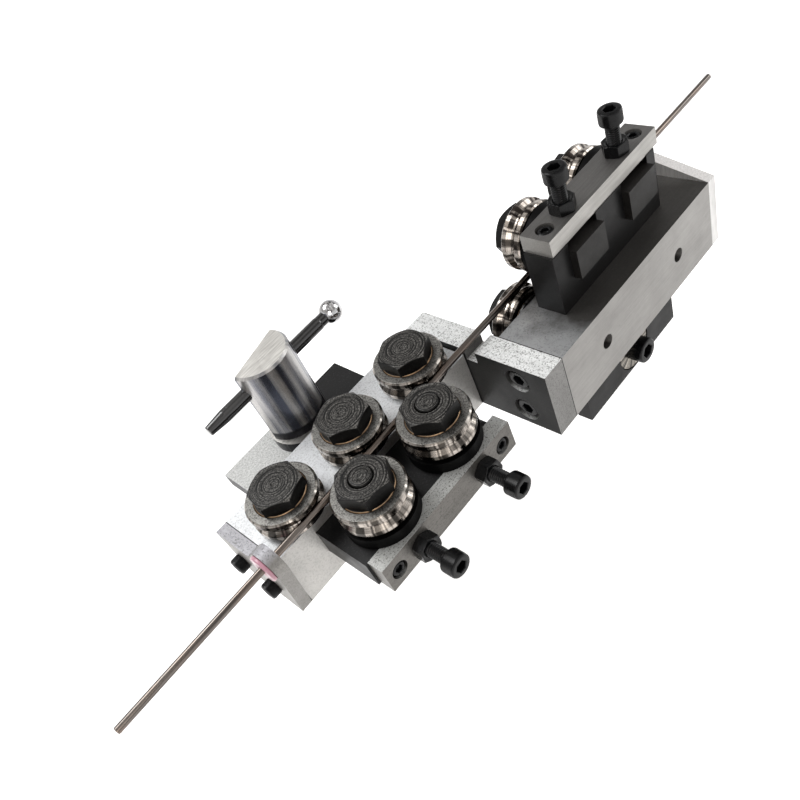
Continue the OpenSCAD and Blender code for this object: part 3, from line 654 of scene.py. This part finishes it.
A, B = STATIONS["a"], STATIONS["b"]
# The carriers' finish, with a z above which shade under the rollers is painted.
CARRIER_FINISH_AND_SHADE = {"base": (0.006, 0.0052, 0.0046), "spot": (0.03, 0.027, 0.024), "amount": 0.4,
                  "rough": 0.5, "gloss": 0.3, "shade_above": -0.0195}
# The side tones given to aluminium below are partly finish and partly painted light and shade.
MATERIALS = {
    "block_a": aluminium(
        "block_metal_a", A, {"other": (0.44, 0.43, 0.415), "+z": (0.78, 0.8, 0.82), "-y": (0.56, 0.55, 0.53)},
        0.4, lined=0.88, seams=block_ends("a")),
    "block_b": aluminium(
        "block_metal_b", B, {"other": (0.34, 0.332, 0.32), "-y": (0.08, 0.077, 0.073)},
        0.9, ALONG, lined=0.86, seams=block_ends("b")[:1], pale=(-0.058, (0.42, 0.43, 0.44))),
    "entry_plate": aluminium(
        "plate_metal_a", A, {"other": (0.3, 0.29, 0.275), "+z": (0.46, 0.46, 0.49)}, 0.9, ACROSS),
    "exit_plate": aluminium(
        "plate_metal_b", B, {"other": (0.8, 0.795, 0.785), "-y": (0.9, 0.89, 0.88)}, 0.3, ACROSS),
    "cross_plate": aluminium(
        "joining_metal", A,
        # The -x side's near-black tone is painted shade: that face stands above block A in shadow.
        {"other": (0.26, 0.257, 0.25), "+z": (0.95, 0.97, 0.97), "-x": (0.002, 0.002, 0.002)},
        1.0, ACROSS, wells=wells_along_x()),
    "adjusting_bar_a": aluminium(
        "bar_metal_a", A, {"other": (0.18, 0.172, 0.16), "+z": (0.46, 0.47, 0.46)},
        1.0, ALONG, wells=wells_along_y("a")),
    "adjusting_bar_b": aluminium(
        "bar_metal_b", B, {"other": (0.46, 0.45, 0.43), "-y": (0.19, 0.186, 0.18)},
        1.0, ALONG, wells=wells_along_y("b")),
    "slide_a": black_oxide("slide_black_a", A, bare=-0.012),
    "slide_b": black_oxide("slide_black_b", B, (0.003, 0.0028, 0.003), (0.03, 0.028, 0.028), 0.4),
    "carrier_a": black_oxide("carrier_black_a", A, **CARRIER_FINISH_AND_SHADE),
    "carrier_b": black_oxide("carrier_black_b", B, **CARRIER_FINISH_AND_SHADE),
    "screw": black_oxide("screw_black", None, (0.002, 0.0022, 0.0026), (0.03, 0.031, 0.034), 0.4, 0.28),
    "lever": black_oxide(
        "lever_black", None, (0.003, 0.003, 0.0035), (0.05, 0.048, 0.045), 0.3, 0.14, gloss=1.0),
    "head": turned_black("head_black"),
    "collar": turned_steel("collar_steel", (0.05, 0.05, 0.05), (0.025, 0.025, 0.025), 0.34),
    "roller": turned_steel(
        "roller_steel", (0.58, 0.535, 0.49), (0.3, 0.26, 0.225), 0.14, face=(0.26, 0.255, 0.24)),
    "bearing": brass_lined("bearing_steel", 0.0141),
    "washer": turned_steel("washer_steel", (0.45, 0.42, 0.37), (0.26, 0.235, 0.2), 0.22),
    "cam_hub_a": drawn_steel("cam_steel_a", pivot_frame("a")),
    "cam_hub_b": drawn_steel("cam_steel_b", pivot_frame("b")),
    "wire": drawn_wire("wire_steel"),
    "ball": chrome("ball_chrome"),
    "guide": ceramic("guide_ceramic"),
}


# ---------------------------------------------------------------- placing pieces


def piece(name, mesh, matrix, body, material, replaced):
    """Links a mesh at a place in the row frame and lets it ride on a CAD body."""
    obj = bpy.data.objects.new(name, mesh)
    bpy.context.scene.collection.objects.link(obj)
    obj.matrix_world = matrix
    if not mesh.materials:
        mesh.materials.append(MATERIALS[material])
    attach(obj, body)
    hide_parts(replaced)


# ---------------------------------------------------------------- rollers and axles


def roller_mesh():
    """Roller with a V groove that is flat at its root."""
    half, rim, bevel, bore = ROLLER_HALF, ROLLER_R, ROLLER_BEVEL, BEARING_R + 0.06
    return lathe("roller", [
        (bore, -half + 1.5), (bore, -half + 0.4), (bore + 0.4, -half), (rim - bevel, -half),
        (rim, -half + bevel), (rim, -GROOVE_HALF), (GROOVE_ROOT, -GROOVE_FLAT), (GROOVE_ROOT, GROOVE_FLAT),
        (rim, GROOVE_HALF), (rim, half - bevel), (rim - bevel, half), (bore + 0.4, half),
        (bore, half - 0.4), (bore, half - 1.5),
    ], count=160, radius=0.14, sharp=28)


def bearing_mesh():
    """Sealed bearing: inner ring, sunken seal and outer ring."""
    low, high, r = BEARING_LOW, BEARING_HIGH, BEARING_R
    return lathe("bearing", [
        (BORE_R, low), (11.0, low), (11.2, low + 0.5), (12.2, low + 0.5), (12.4, low + 0.2),
        (r - 0.3, low + 0.2), (r, low + 0.6), (r, high - 0.55), (r - 0.35, high - 0.15), (13.1, high - 0.15),
        (12.9, high - 0.5), (12.0, high - 0.5), (11.8, high), (BORE_R, high),
    ], count=128, radius=0.15, sharp=28)


def collar_mesh():
    """Spacer under a fixed roller, with a step that meets the bearing's inner ring."""
    low, high, r = COLLAR_LOW, BEARING_LOW, COLLAR_R
    return lathe("collar", [
        (8.1, low), (r - 0.3, low), (r, low + 0.3), (r, -7.9), (r - 0.4, -7.6), (11.7, -7.6),
        (11.5, -7.4), (11.5, high), (8.1, high),
    ], count=128, radius=0.15, sharp=28)


def bolt_mesh():
    """Axle bolt: shank, shoulder and hexagon head with a turning centre."""
    rings = [(0, BOLT_TIP), (SHANK_R, BOLT_TIP), (SHANK_R, COLLAR_LOW), (SHOULDER_R, COLLAR_LOW),
             (SHOULDER_R, BEARING_HIGH - 0.02)]
    rings += hexagon_rings(HEAD_FLATS, BEARING_HIGH, BOLT_TOP)[1:]
    rings += [(1.6, BOLT_TOP), (1.0, BOLT_TOP - 0.25), (0, BOLT_TOP - 0.3)]
    return loft("axle_bolt", rings, count=120, sharp=18)


def nut_mesh():
    """Nut on a carrier's stud."""
    rings = [(SHOULDER_R, BEARING_HIGH)] + hexagon_rings(HEAD_FLATS, BEARING_HIGH, NUT_TOP)[1:]
    rings += [(6.9, NUT_TOP), (6.3, NUT_TOP - 0.5), (6.05, NUT_TOP - 1.5)]
    return loft("axle_nut", rings, count=120, sharp=18)


def stud_mesh():
    """Carrier's stud: shank, shoulder and an end with a turned groove."""
    top, shank, shoulder = STUD_TOP, SHANK_R, SHOULDER_R
    return loft("stud", [
        (0, STUD_TIP), (5.8, STUD_TIP), (shank, -21.0), (shank, STUD_SHOULDER), (shoulder, STUD_SHOULDER),
        (shoulder, 6.9), (shank, 6.9), (shank, 15.2), (5.6, 15.8), (5.1, top), (4.0, top), (3.7, top - 0.25),
        (2.2, top - 0.25), (1.9, top), (0, top),
    ], count=96, sharp=30)


MESHES = {"roller": roller_mesh(), "bearing": bearing_mesh(), "collar": collar_mesh(), "bolt": bolt_mesh(),
          "nut": nut_mesh(), "stud": stud_mesh()}


def axle_places(tag, roller):
    """Place of a roller, and the same place turned as its hexagon was left."""
    place = at(tag, local_centre(tag, f"roller_{tag}{roller}"))
    return place, place @ Matrix.Rotation(math.radians(HEAD_TURNS[f"{tag}{roller}"]), 4, "Z")


def fixed_axle(tag, number):
    """Roller on the block, with its bolt, collar and bearing."""
    place, turned = axle_places(tag, number)
    key, roller = f"{tag}{number}", f"roller_{tag}{number}"
    piece(f"fixed_{roller}", MESHES["roller"], place, roller, "roller", roller)
    piece(f"axle_bolt_{key}", MESHES["bolt"], turned, "frame", "head", "axle_bolts")
    piece(f"axle_collar_{key}", MESHES["collar"], place, "frame", "collar", "axle_collars")
    piece(f"axle_bearing_{key}", MESHES["bearing"], place, "frame", "bearing", "axle_bearings")


def carried_axle(tag, number):
    """Roller on a carrier, with its nut, stud and bearing."""
    place, turned = axle_places(tag, number + len(FIXED))
    key, roller, body = f"{tag}{number}", f"roller_{tag}{number + len(FIXED)}", f"carrier_{tag}{number}"
    piece(f"carried_roller_{key}", MESHES["roller"], place, roller, "roller", roller)
    piece(f"carried_nut_{key}", MESHES["nut"], turned, body, "head", f"nut_{key}")
    piece(f"carried_stud_{key}", MESHES["stud"], place, body, "head", f"stud_{key}")
    piece(f"carried_bearing_{key}", MESHES["bearing"], place, body, "bearing", f"bearing_{key}")


# ---------------------------------------------------------------- screws


def adjusting_screw_mesh(length):
    """Screw whose head's seat is z = 0 and whose tip lies at z = -length."""
    r, tip = M8.diameter / 2, -length
    rings = [(0, tip), (JOURNAL_R - 0.2, tip), (JOURNAL_R, tip + 0.3), (JOURNAL_R, tip + JOURNAL_LENGTH),
             (r, tip + JOURNAL_LENGTH + 0.05)]
    rings += threaded_rings(r, M8_PITCH, tip + JOURNAL_LENGTH + 0.2, -1.0)
    rings += [(r, 0)] + socket_head_rings(M8)[1:]
    return loft("adjusting_screw", rings, count=88, sharp=34)


def cap_screw_mesh(name, screw, length):
    """Screw whose head's seat is z = 0, with a plain shank that runs down from it."""
    rings = [(0, -length), (screw.diameter / 2, -length), (screw.diameter / 2, 0)]
    return loft(name, rings + socket_head_rings(screw)[1:], count=88, sharp=34)


def lock_nut_mesh(height):
    """Nut that stands on z = 0, chamfered on both sides."""
    rings = [(4.1, 0)] + hexagon_rings(M8_NUT_FLATS, 0, height, True)[1:]
    rings += [(5.4, height), (4.6, height - 0.4), (4.08, height - 0.9)]
    return loft("lock_nut", rings, count=96, sharp=30)


def adjuster(tag, number):
    """Adjusting screw, whose head points to the front, and its lock nut on the bar."""
    node, nuts = f"adjusting_screw_{tag}{number}", f"lock_nuts_{tag}"
    low, high = local_box(tag, node)
    x, z = (low.x + high.x) / 2, (low.z + high.z) / 2
    mesh = adjusting_screw_mesh(high.y - low.y - M8.head_h)
    piece(f"adjuster_{tag}{number}", mesh, at(tag, (x, low.y + M8.head_h, z), TO_FRONT), node, "screw", node)
    low, high = local_box(tag, nuts)
    turn = TO_FRONT @ Matrix.Rotation(math.radians(LOCK_NUT_TURNS[number]), 4, "Z")
    piece(f"lock_nut_{tag}{number}", lock_nut_mesh(high.y - low.y), at(tag, (x, high.y, z), turn),
          f"slide_{tag}", "screw", nuts)


def bar_screws(tag):
    """The two cap screws that hold an adjusting bar to its slide."""
    node = f"bar_screws_{tag}"
    low, high = local_box(tag, node)
    inset = M5.head_d / 2
    for number, x in enumerate((low.x + inset, high.x - inset), 1):
        mesh = cap_screw_mesh("bar_screw", M5, high.y - low.y - M5.head_h)
        place = at(tag, (x, low.y + M5.head_h, (low.z + high.z) / 2), TO_FRONT)
        piece(f"bar_screw_{tag}{number}", mesh, place, f"slide_{tag}", "screw", node)


def end_screws(tag, x, turn, spacing, screw, length, name, node):
    """Two cap screws in a station's end, side by side in Y and seated at x."""
    for number, side in enumerate((-1, 1), 1):
        centre = (x, SCREW_ROW + side * spacing / 2, SCREW_LEVEL)
        piece(f"{name}_{tag}{number}", cap_screw_mesh(name, screw, length), at(tag, centre, turn),
              "frame", "screw", node)


# ---------------------------------------------------------------- wire and guides


def guide_mesh(radius):
    """Eyelet whose flange stands on z = 0 and whose sleeve runs below it."""
    bore, sleeve = GUIDE_BORE_R, SLEEVE_R
    return lathe("guide", [
        (bore, -6.9), (sleeve, -6.95), (sleeve, 0.0), (radius - 0.4, 0.0), (radius, 0.4), (radius, 1.7),
        (radius - 0.7, 2.25), (4.6, 2.3), (3.4, 1.7), (2.8, 0.6), (bore, -1.0), (bore, -6.9),
    ], count=128, radius=0.35, sharp=40)


def guides():
    """Wire guides in the entry plate's and the exit plate's outer faces."""
    low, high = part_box("wire_guides")
    mesh = guide_mesh((high.y - low.y) / 2 / MM)
    piece("entry_guide", mesh, at("a", (ENTRY_X, 0, 0), AGAINST_FEED), "frame", "guide", "wire_guides")
    piece("exit_guide", mesh, at("b", (EXIT_X, 0, 0), TO_FEED), "frame", "guide", "wire_guides")


def wire_mesh(length):
    """Wire along Z with a slight burr at each sheared end."""
    r = WIRE_R
    return loft("wire", [
        (0, 0.15), (r - 0.5, 0.0), (r - 0.1, 0.25), (r, 0.8), (r, length / 2), (r, length - 0.8),
        (r - 0.1, length - 0.25), (r - 0.5, length), (0, length - 0.15),
    ], count=48, sharp=40)


def wire():
    """The wire, from its lowest X on."""
    low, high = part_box("wire")
    start = Vector((low.x, (low.y + high.y) / 2, (low.z + high.z) / 2))
    piece("straight_wire", wire_mesh((high.x - low.x) / MM), Matrix.Translation(start) @ TO_FEED,
          "wire", "wire", "wire")


# ---------------------------------------------------------------- cam lever


def lever_mesh(length):
    """Lever bar along Z: tapered tip at z = 0, neck for the ball at z = length."""
    return lathe("lever", [
        (0, 0), (2.6, 0), (3.0, 0.5), (LEVER_R, 12.0), (LEVER_R, length - 7.0), (LEVER_NECK_R, length - 6.4),
        (LEVER_NECK_R, length), (0, length),
    ], count=64, radius=0.4, sharp=40)


def ball_mesh(radius):
    """Ball with a flat where it meets the lever."""
    cut, steps = -radius * BALL_CUT, 40
    rings = [(0, cut), (BALL_MOUTH - 0.45, cut), (BALL_MOUTH - 0.1, -radius * (BALL_CUT - 0.02))]
    start = math.asin(BALL_MOUTH / radius)
    for i in range(steps + 1):
        angle = start + (math.pi - start) * i / steps
        rings.append((radius * math.sin(angle), -radius * math.cos(angle)))
    return loft("ball", rings, count=64, sharp=50)


def washer_mesh():
    """Washer whose upper side is z = 0."""
    r, bore, low = WASHER_R, WASHER_BORE_R, -WASHER_THICK
    return lathe("cam_washer", [
        (bore, low), (r - 0.4, low), (r, low + 0.4), (r, -0.4), (r - 0.4, 0.0), (bore, 0.0), (bore, low),
    ], count=96, radius=0.2, sharp=30)


def cam_lever(tag):
    """Lever bar and ball through the post's top, washer and cap screw under the slide."""
    body, bar, ball, washer = f"cam_{tag}", f"lever_bar_{tag}", f"ball_knob_{tag}", f"cam_washer_{tag}"
    low, high = local_box(tag, bar)
    centre = (low + high) / 2
    piece(f"lever_{tag}", lever_mesh(high.x - low.x), at(tag, (low.x, centre.y, centre.z), TO_FEED),
          body, "lever", bar)
    low, high = local_box(tag, ball)
    radius = (high.z - low.z) / 2
    piece(f"ball_{tag}", ball_mesh(radius), at(tag, (high.x - radius, centre.y, centre.z), TO_FEED),
          body, "ball", ball)
    low, high = local_box(tag, washer)
    x, y = (low.x + high.x) / 2, (low.y + high.y) / 2
    piece(f"pivot_washer_{tag}", washer_mesh(), at(tag, (x, y, high.z)), body, "washer", washer)
    piece(f"pivot_screw_{tag}", cap_screw_mesh("pivot_screw", M10, PIVOT_GRIP), at(tag, (x, y, low.z), DOWN),
          body, "screw", f"cam_screw_{tag}")


# ---------------------------------------------------------------- CAD nodes that stay

EDGE_WIDTH = 0.35
EDGE_SEGMENTS = 2


def dress(node, material):
    """Material and softened edges for a CAD node that is shown as it is."""
    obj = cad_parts[node]
    obj.data.materials.clear()
    obj.data.materials.append(MATERIALS[material])
    flat = obj.modifiers.new("flat", "DECIMATE")
    flat.decimate_type = "DISSOLVE"
    flat.angle_limit = math.radians(1)
    edge = obj.modifiers.new("edge", "BEVEL")
    edge.width = EDGE_WIDTH * MM
    edge.segments = EDGE_SEGMENTS
    edge.limit_method = "ANGLE"
    edge.angle_limit = math.radians(35)
    edge.harden_normals = False
    for polygon in obj.data.polygons:
        polygon.use_smooth = True
    obj.data.set_sharp_from_angle(angle=math.radians(30))
    weighted = obj.modifiers.new("normals", "WEIGHTED_NORMAL")
    weighted.keep_sharp = False


# ---------------------------------------------------------------- floor, light and camera

FLOOR_DROP = 0.085
FLOOR_REACH = 4.0
FLOOR_GLOW = 0.62
WORLD_STRENGTH = 0.8
AIM = (0.05, 0, 0.03)
CAMERA_PLACE = (-116.3, -281.8, 331.7)
CAMERA_TURN = (42.563, 19.466, -47.824)
CAMERA_SENSOR, CAMERA_LENS = 36.0, 35.158
CAMERA_SHIFT = (0.0044, 0.0170)


def floor():
    """Pale floor whose glow shows to the camera, and in metal, as white."""
    mesh = bpy.data.meshes.new("floor")
    r, z = FLOOR_REACH, -FLOOR_DROP
    mesh.from_pydata([(-r, -r, z), (r, -r, z), (r, r, z), (-r, r, z)], [], [(0, 1, 2, 3)])
    obj = bpy.data.objects.new("floor", mesh)
    bpy.context.scene.collection.objects.link(obj)
    n = Nodes("floor_white")
    n.set(base=n.mix(n.grain(3, 2, 0.5), (0.82, 0.82, 0.82), (0.86, 0.86, 0.86)), metallic=0.0, roughness=0.9)
    glow = n.node("Emission")
    glow.inputs["Color"].default_value = (1, 1, 1, 1)
    n.link(n.times(n.seen(), FLOOR_GLOW), glow.inputs["Strength"])
    both = n.node("AddShader")
    n.link(n.shader.outputs[0], both.inputs[0])
    n.link(glow.outputs[0], both.inputs[1])
    n.link(both.outputs[0], n.output.inputs[0])
    mesh.materials.append(n.material)


def area_light(name, place, target, size, power, colour=(1, 1, 1)):
    """Rectangular lamp at a place, turned to a target."""
    data = bpy.data.lights.new(name, "AREA")
    data.shape = "RECTANGLE"
    data.size, data.size_y = size
    data.energy = power
    data.color = colour
    obj = bpy.data.objects.new(name, data)
    bpy.context.scene.collection.objects.link(obj)
    obj.location = place
    obj.rotation_euler = (Vector(target) - Vector(place)).to_track_quat("-Z", "Y").to_euler()


def world_light():
    """Soft grey light, brighter overhead and warm in patches, over a white backdrop
    that stands round the floor and shows in metal as well."""
    world = bpy.data.worlds.new("studio")
    bpy.context.scene.world = world
    n = Tree(world)
    coords = n.node("TexCoord").outputs["Generated"]
    up = n.parts(coords)[2]
    light = n.mix(n.ramp(up, -0.2, 0.95), (0.12, 0.12, 0.125), (0.8, 0.81, 0.83))
    cloud = n.noise(n.scaled(coords, (4.6, 4.6, 1.0)), 1.0, 0.5)
    patches = n.mix(n.ramp(cloud, 0.43, 0.58), (0.3, 0.29, 0.28), (1.75, 1.68, 1.6))
    light = n.mix(1.0, light, patches, "MULTIPLY")
    backdrop = n.times(n.seen(), n.ramp(up, 0.5, 0.3))
    background = n.node("Background")
    n.link(n.mix(backdrop, light, (1 / WORLD_STRENGTH,) * 3), background.inputs[0])
    background.inputs[1].default_value = WORLD_STRENGTH
    n.link(background.outputs[0], n.node("OutputWorld").inputs[0])


def camera():
    """Camera fitted to the photograph."""
    data = bpy.data.cameras.new("camera")
    data.sensor_width = CAMERA_SENSOR
    data.lens = CAMERA_LENS
    data.shift_x, data.shift_y = CAMERA_SHIFT
    data.clip_start, data.clip_end = 0.01, 20.0
    obj = bpy.data.objects.new("camera", data)
    bpy.context.scene.collection.objects.link(obj)
    obj.location = Vector(CAMERA_PLACE) * MM
    obj.rotation_euler = Euler([math.radians(a) for a in CAMERA_TURN], "XYZ")
    bpy.context.scene.camera = obj


# ---------------------------------------------------------------- scene

ENTRY_X = local_box("a", "entry_plate")[0].x
EXIT_X = local_box("b", "exit_plate")[1].x
CROSS_X_A = local_box("a", "cross_plate")[1].x - CROSS_SEAT
CROSS_X_B = local_box("b", "cross_plate")[0].x + CROSS_SEAT

for tag in STATIONS:
    for number in FIXED:
        fixed_axle(tag, number)
    for number in CARRIED:
        carried_axle(tag, number)
for tag in STATIONS:
    for number in CARRIED:
        adjuster(tag, number)
    bar_screws(tag)
end_screws("a", ENTRY_X, AGAINST_FEED, END_SPACING, M6, END_GRIP, "entry_screw", "end_plate_screws")
end_screws("b", EXIT_X, TO_FEED, END_SPACING, M6, END_GRIP, "exit_screw", "end_plate_screws")
for tag, x, turn in (("a", CROSS_X_A, TO_FEED), ("b", CROSS_X_B, AGAINST_FEED)):
    end_screws(tag, x, turn, CROSS_SPACING, M8, CROSS_GRIP, "cross_screw", "cross_plate_screws")
guides()
wire()
for tag in STATIONS:
    cam_lever(tag)
for node in ("block_a", "block_b", "entry_plate", "exit_plate", "cross_plate", "adjusting_bar_a",
             "adjusting_bar_b", "slide_a", "slide_b", "cam_hub_a", "cam_hub_b"):
    dress(node, node)
for node in ("carrier_a1", "carrier_a2", "carrier_b1", "carrier_b2"):
    dress(node, node[:-1])

floor()
world_light()
area_light("key", (-0.25, 0.55, 0.95), AIM, (0.7, 0.5), 8)
area_light("fill", (-0.75, -0.75, 0.6), AIM, (0.6, 0.8), 4.5, (1.0, 0.95, 0.9))
area_light("side", (0.95, -0.45, 0.5), (0.1, 0, 0.03), (0.5, 0.6), 3)
camera()
bpy.context.scene.view_settings.view_transform = "Standard"
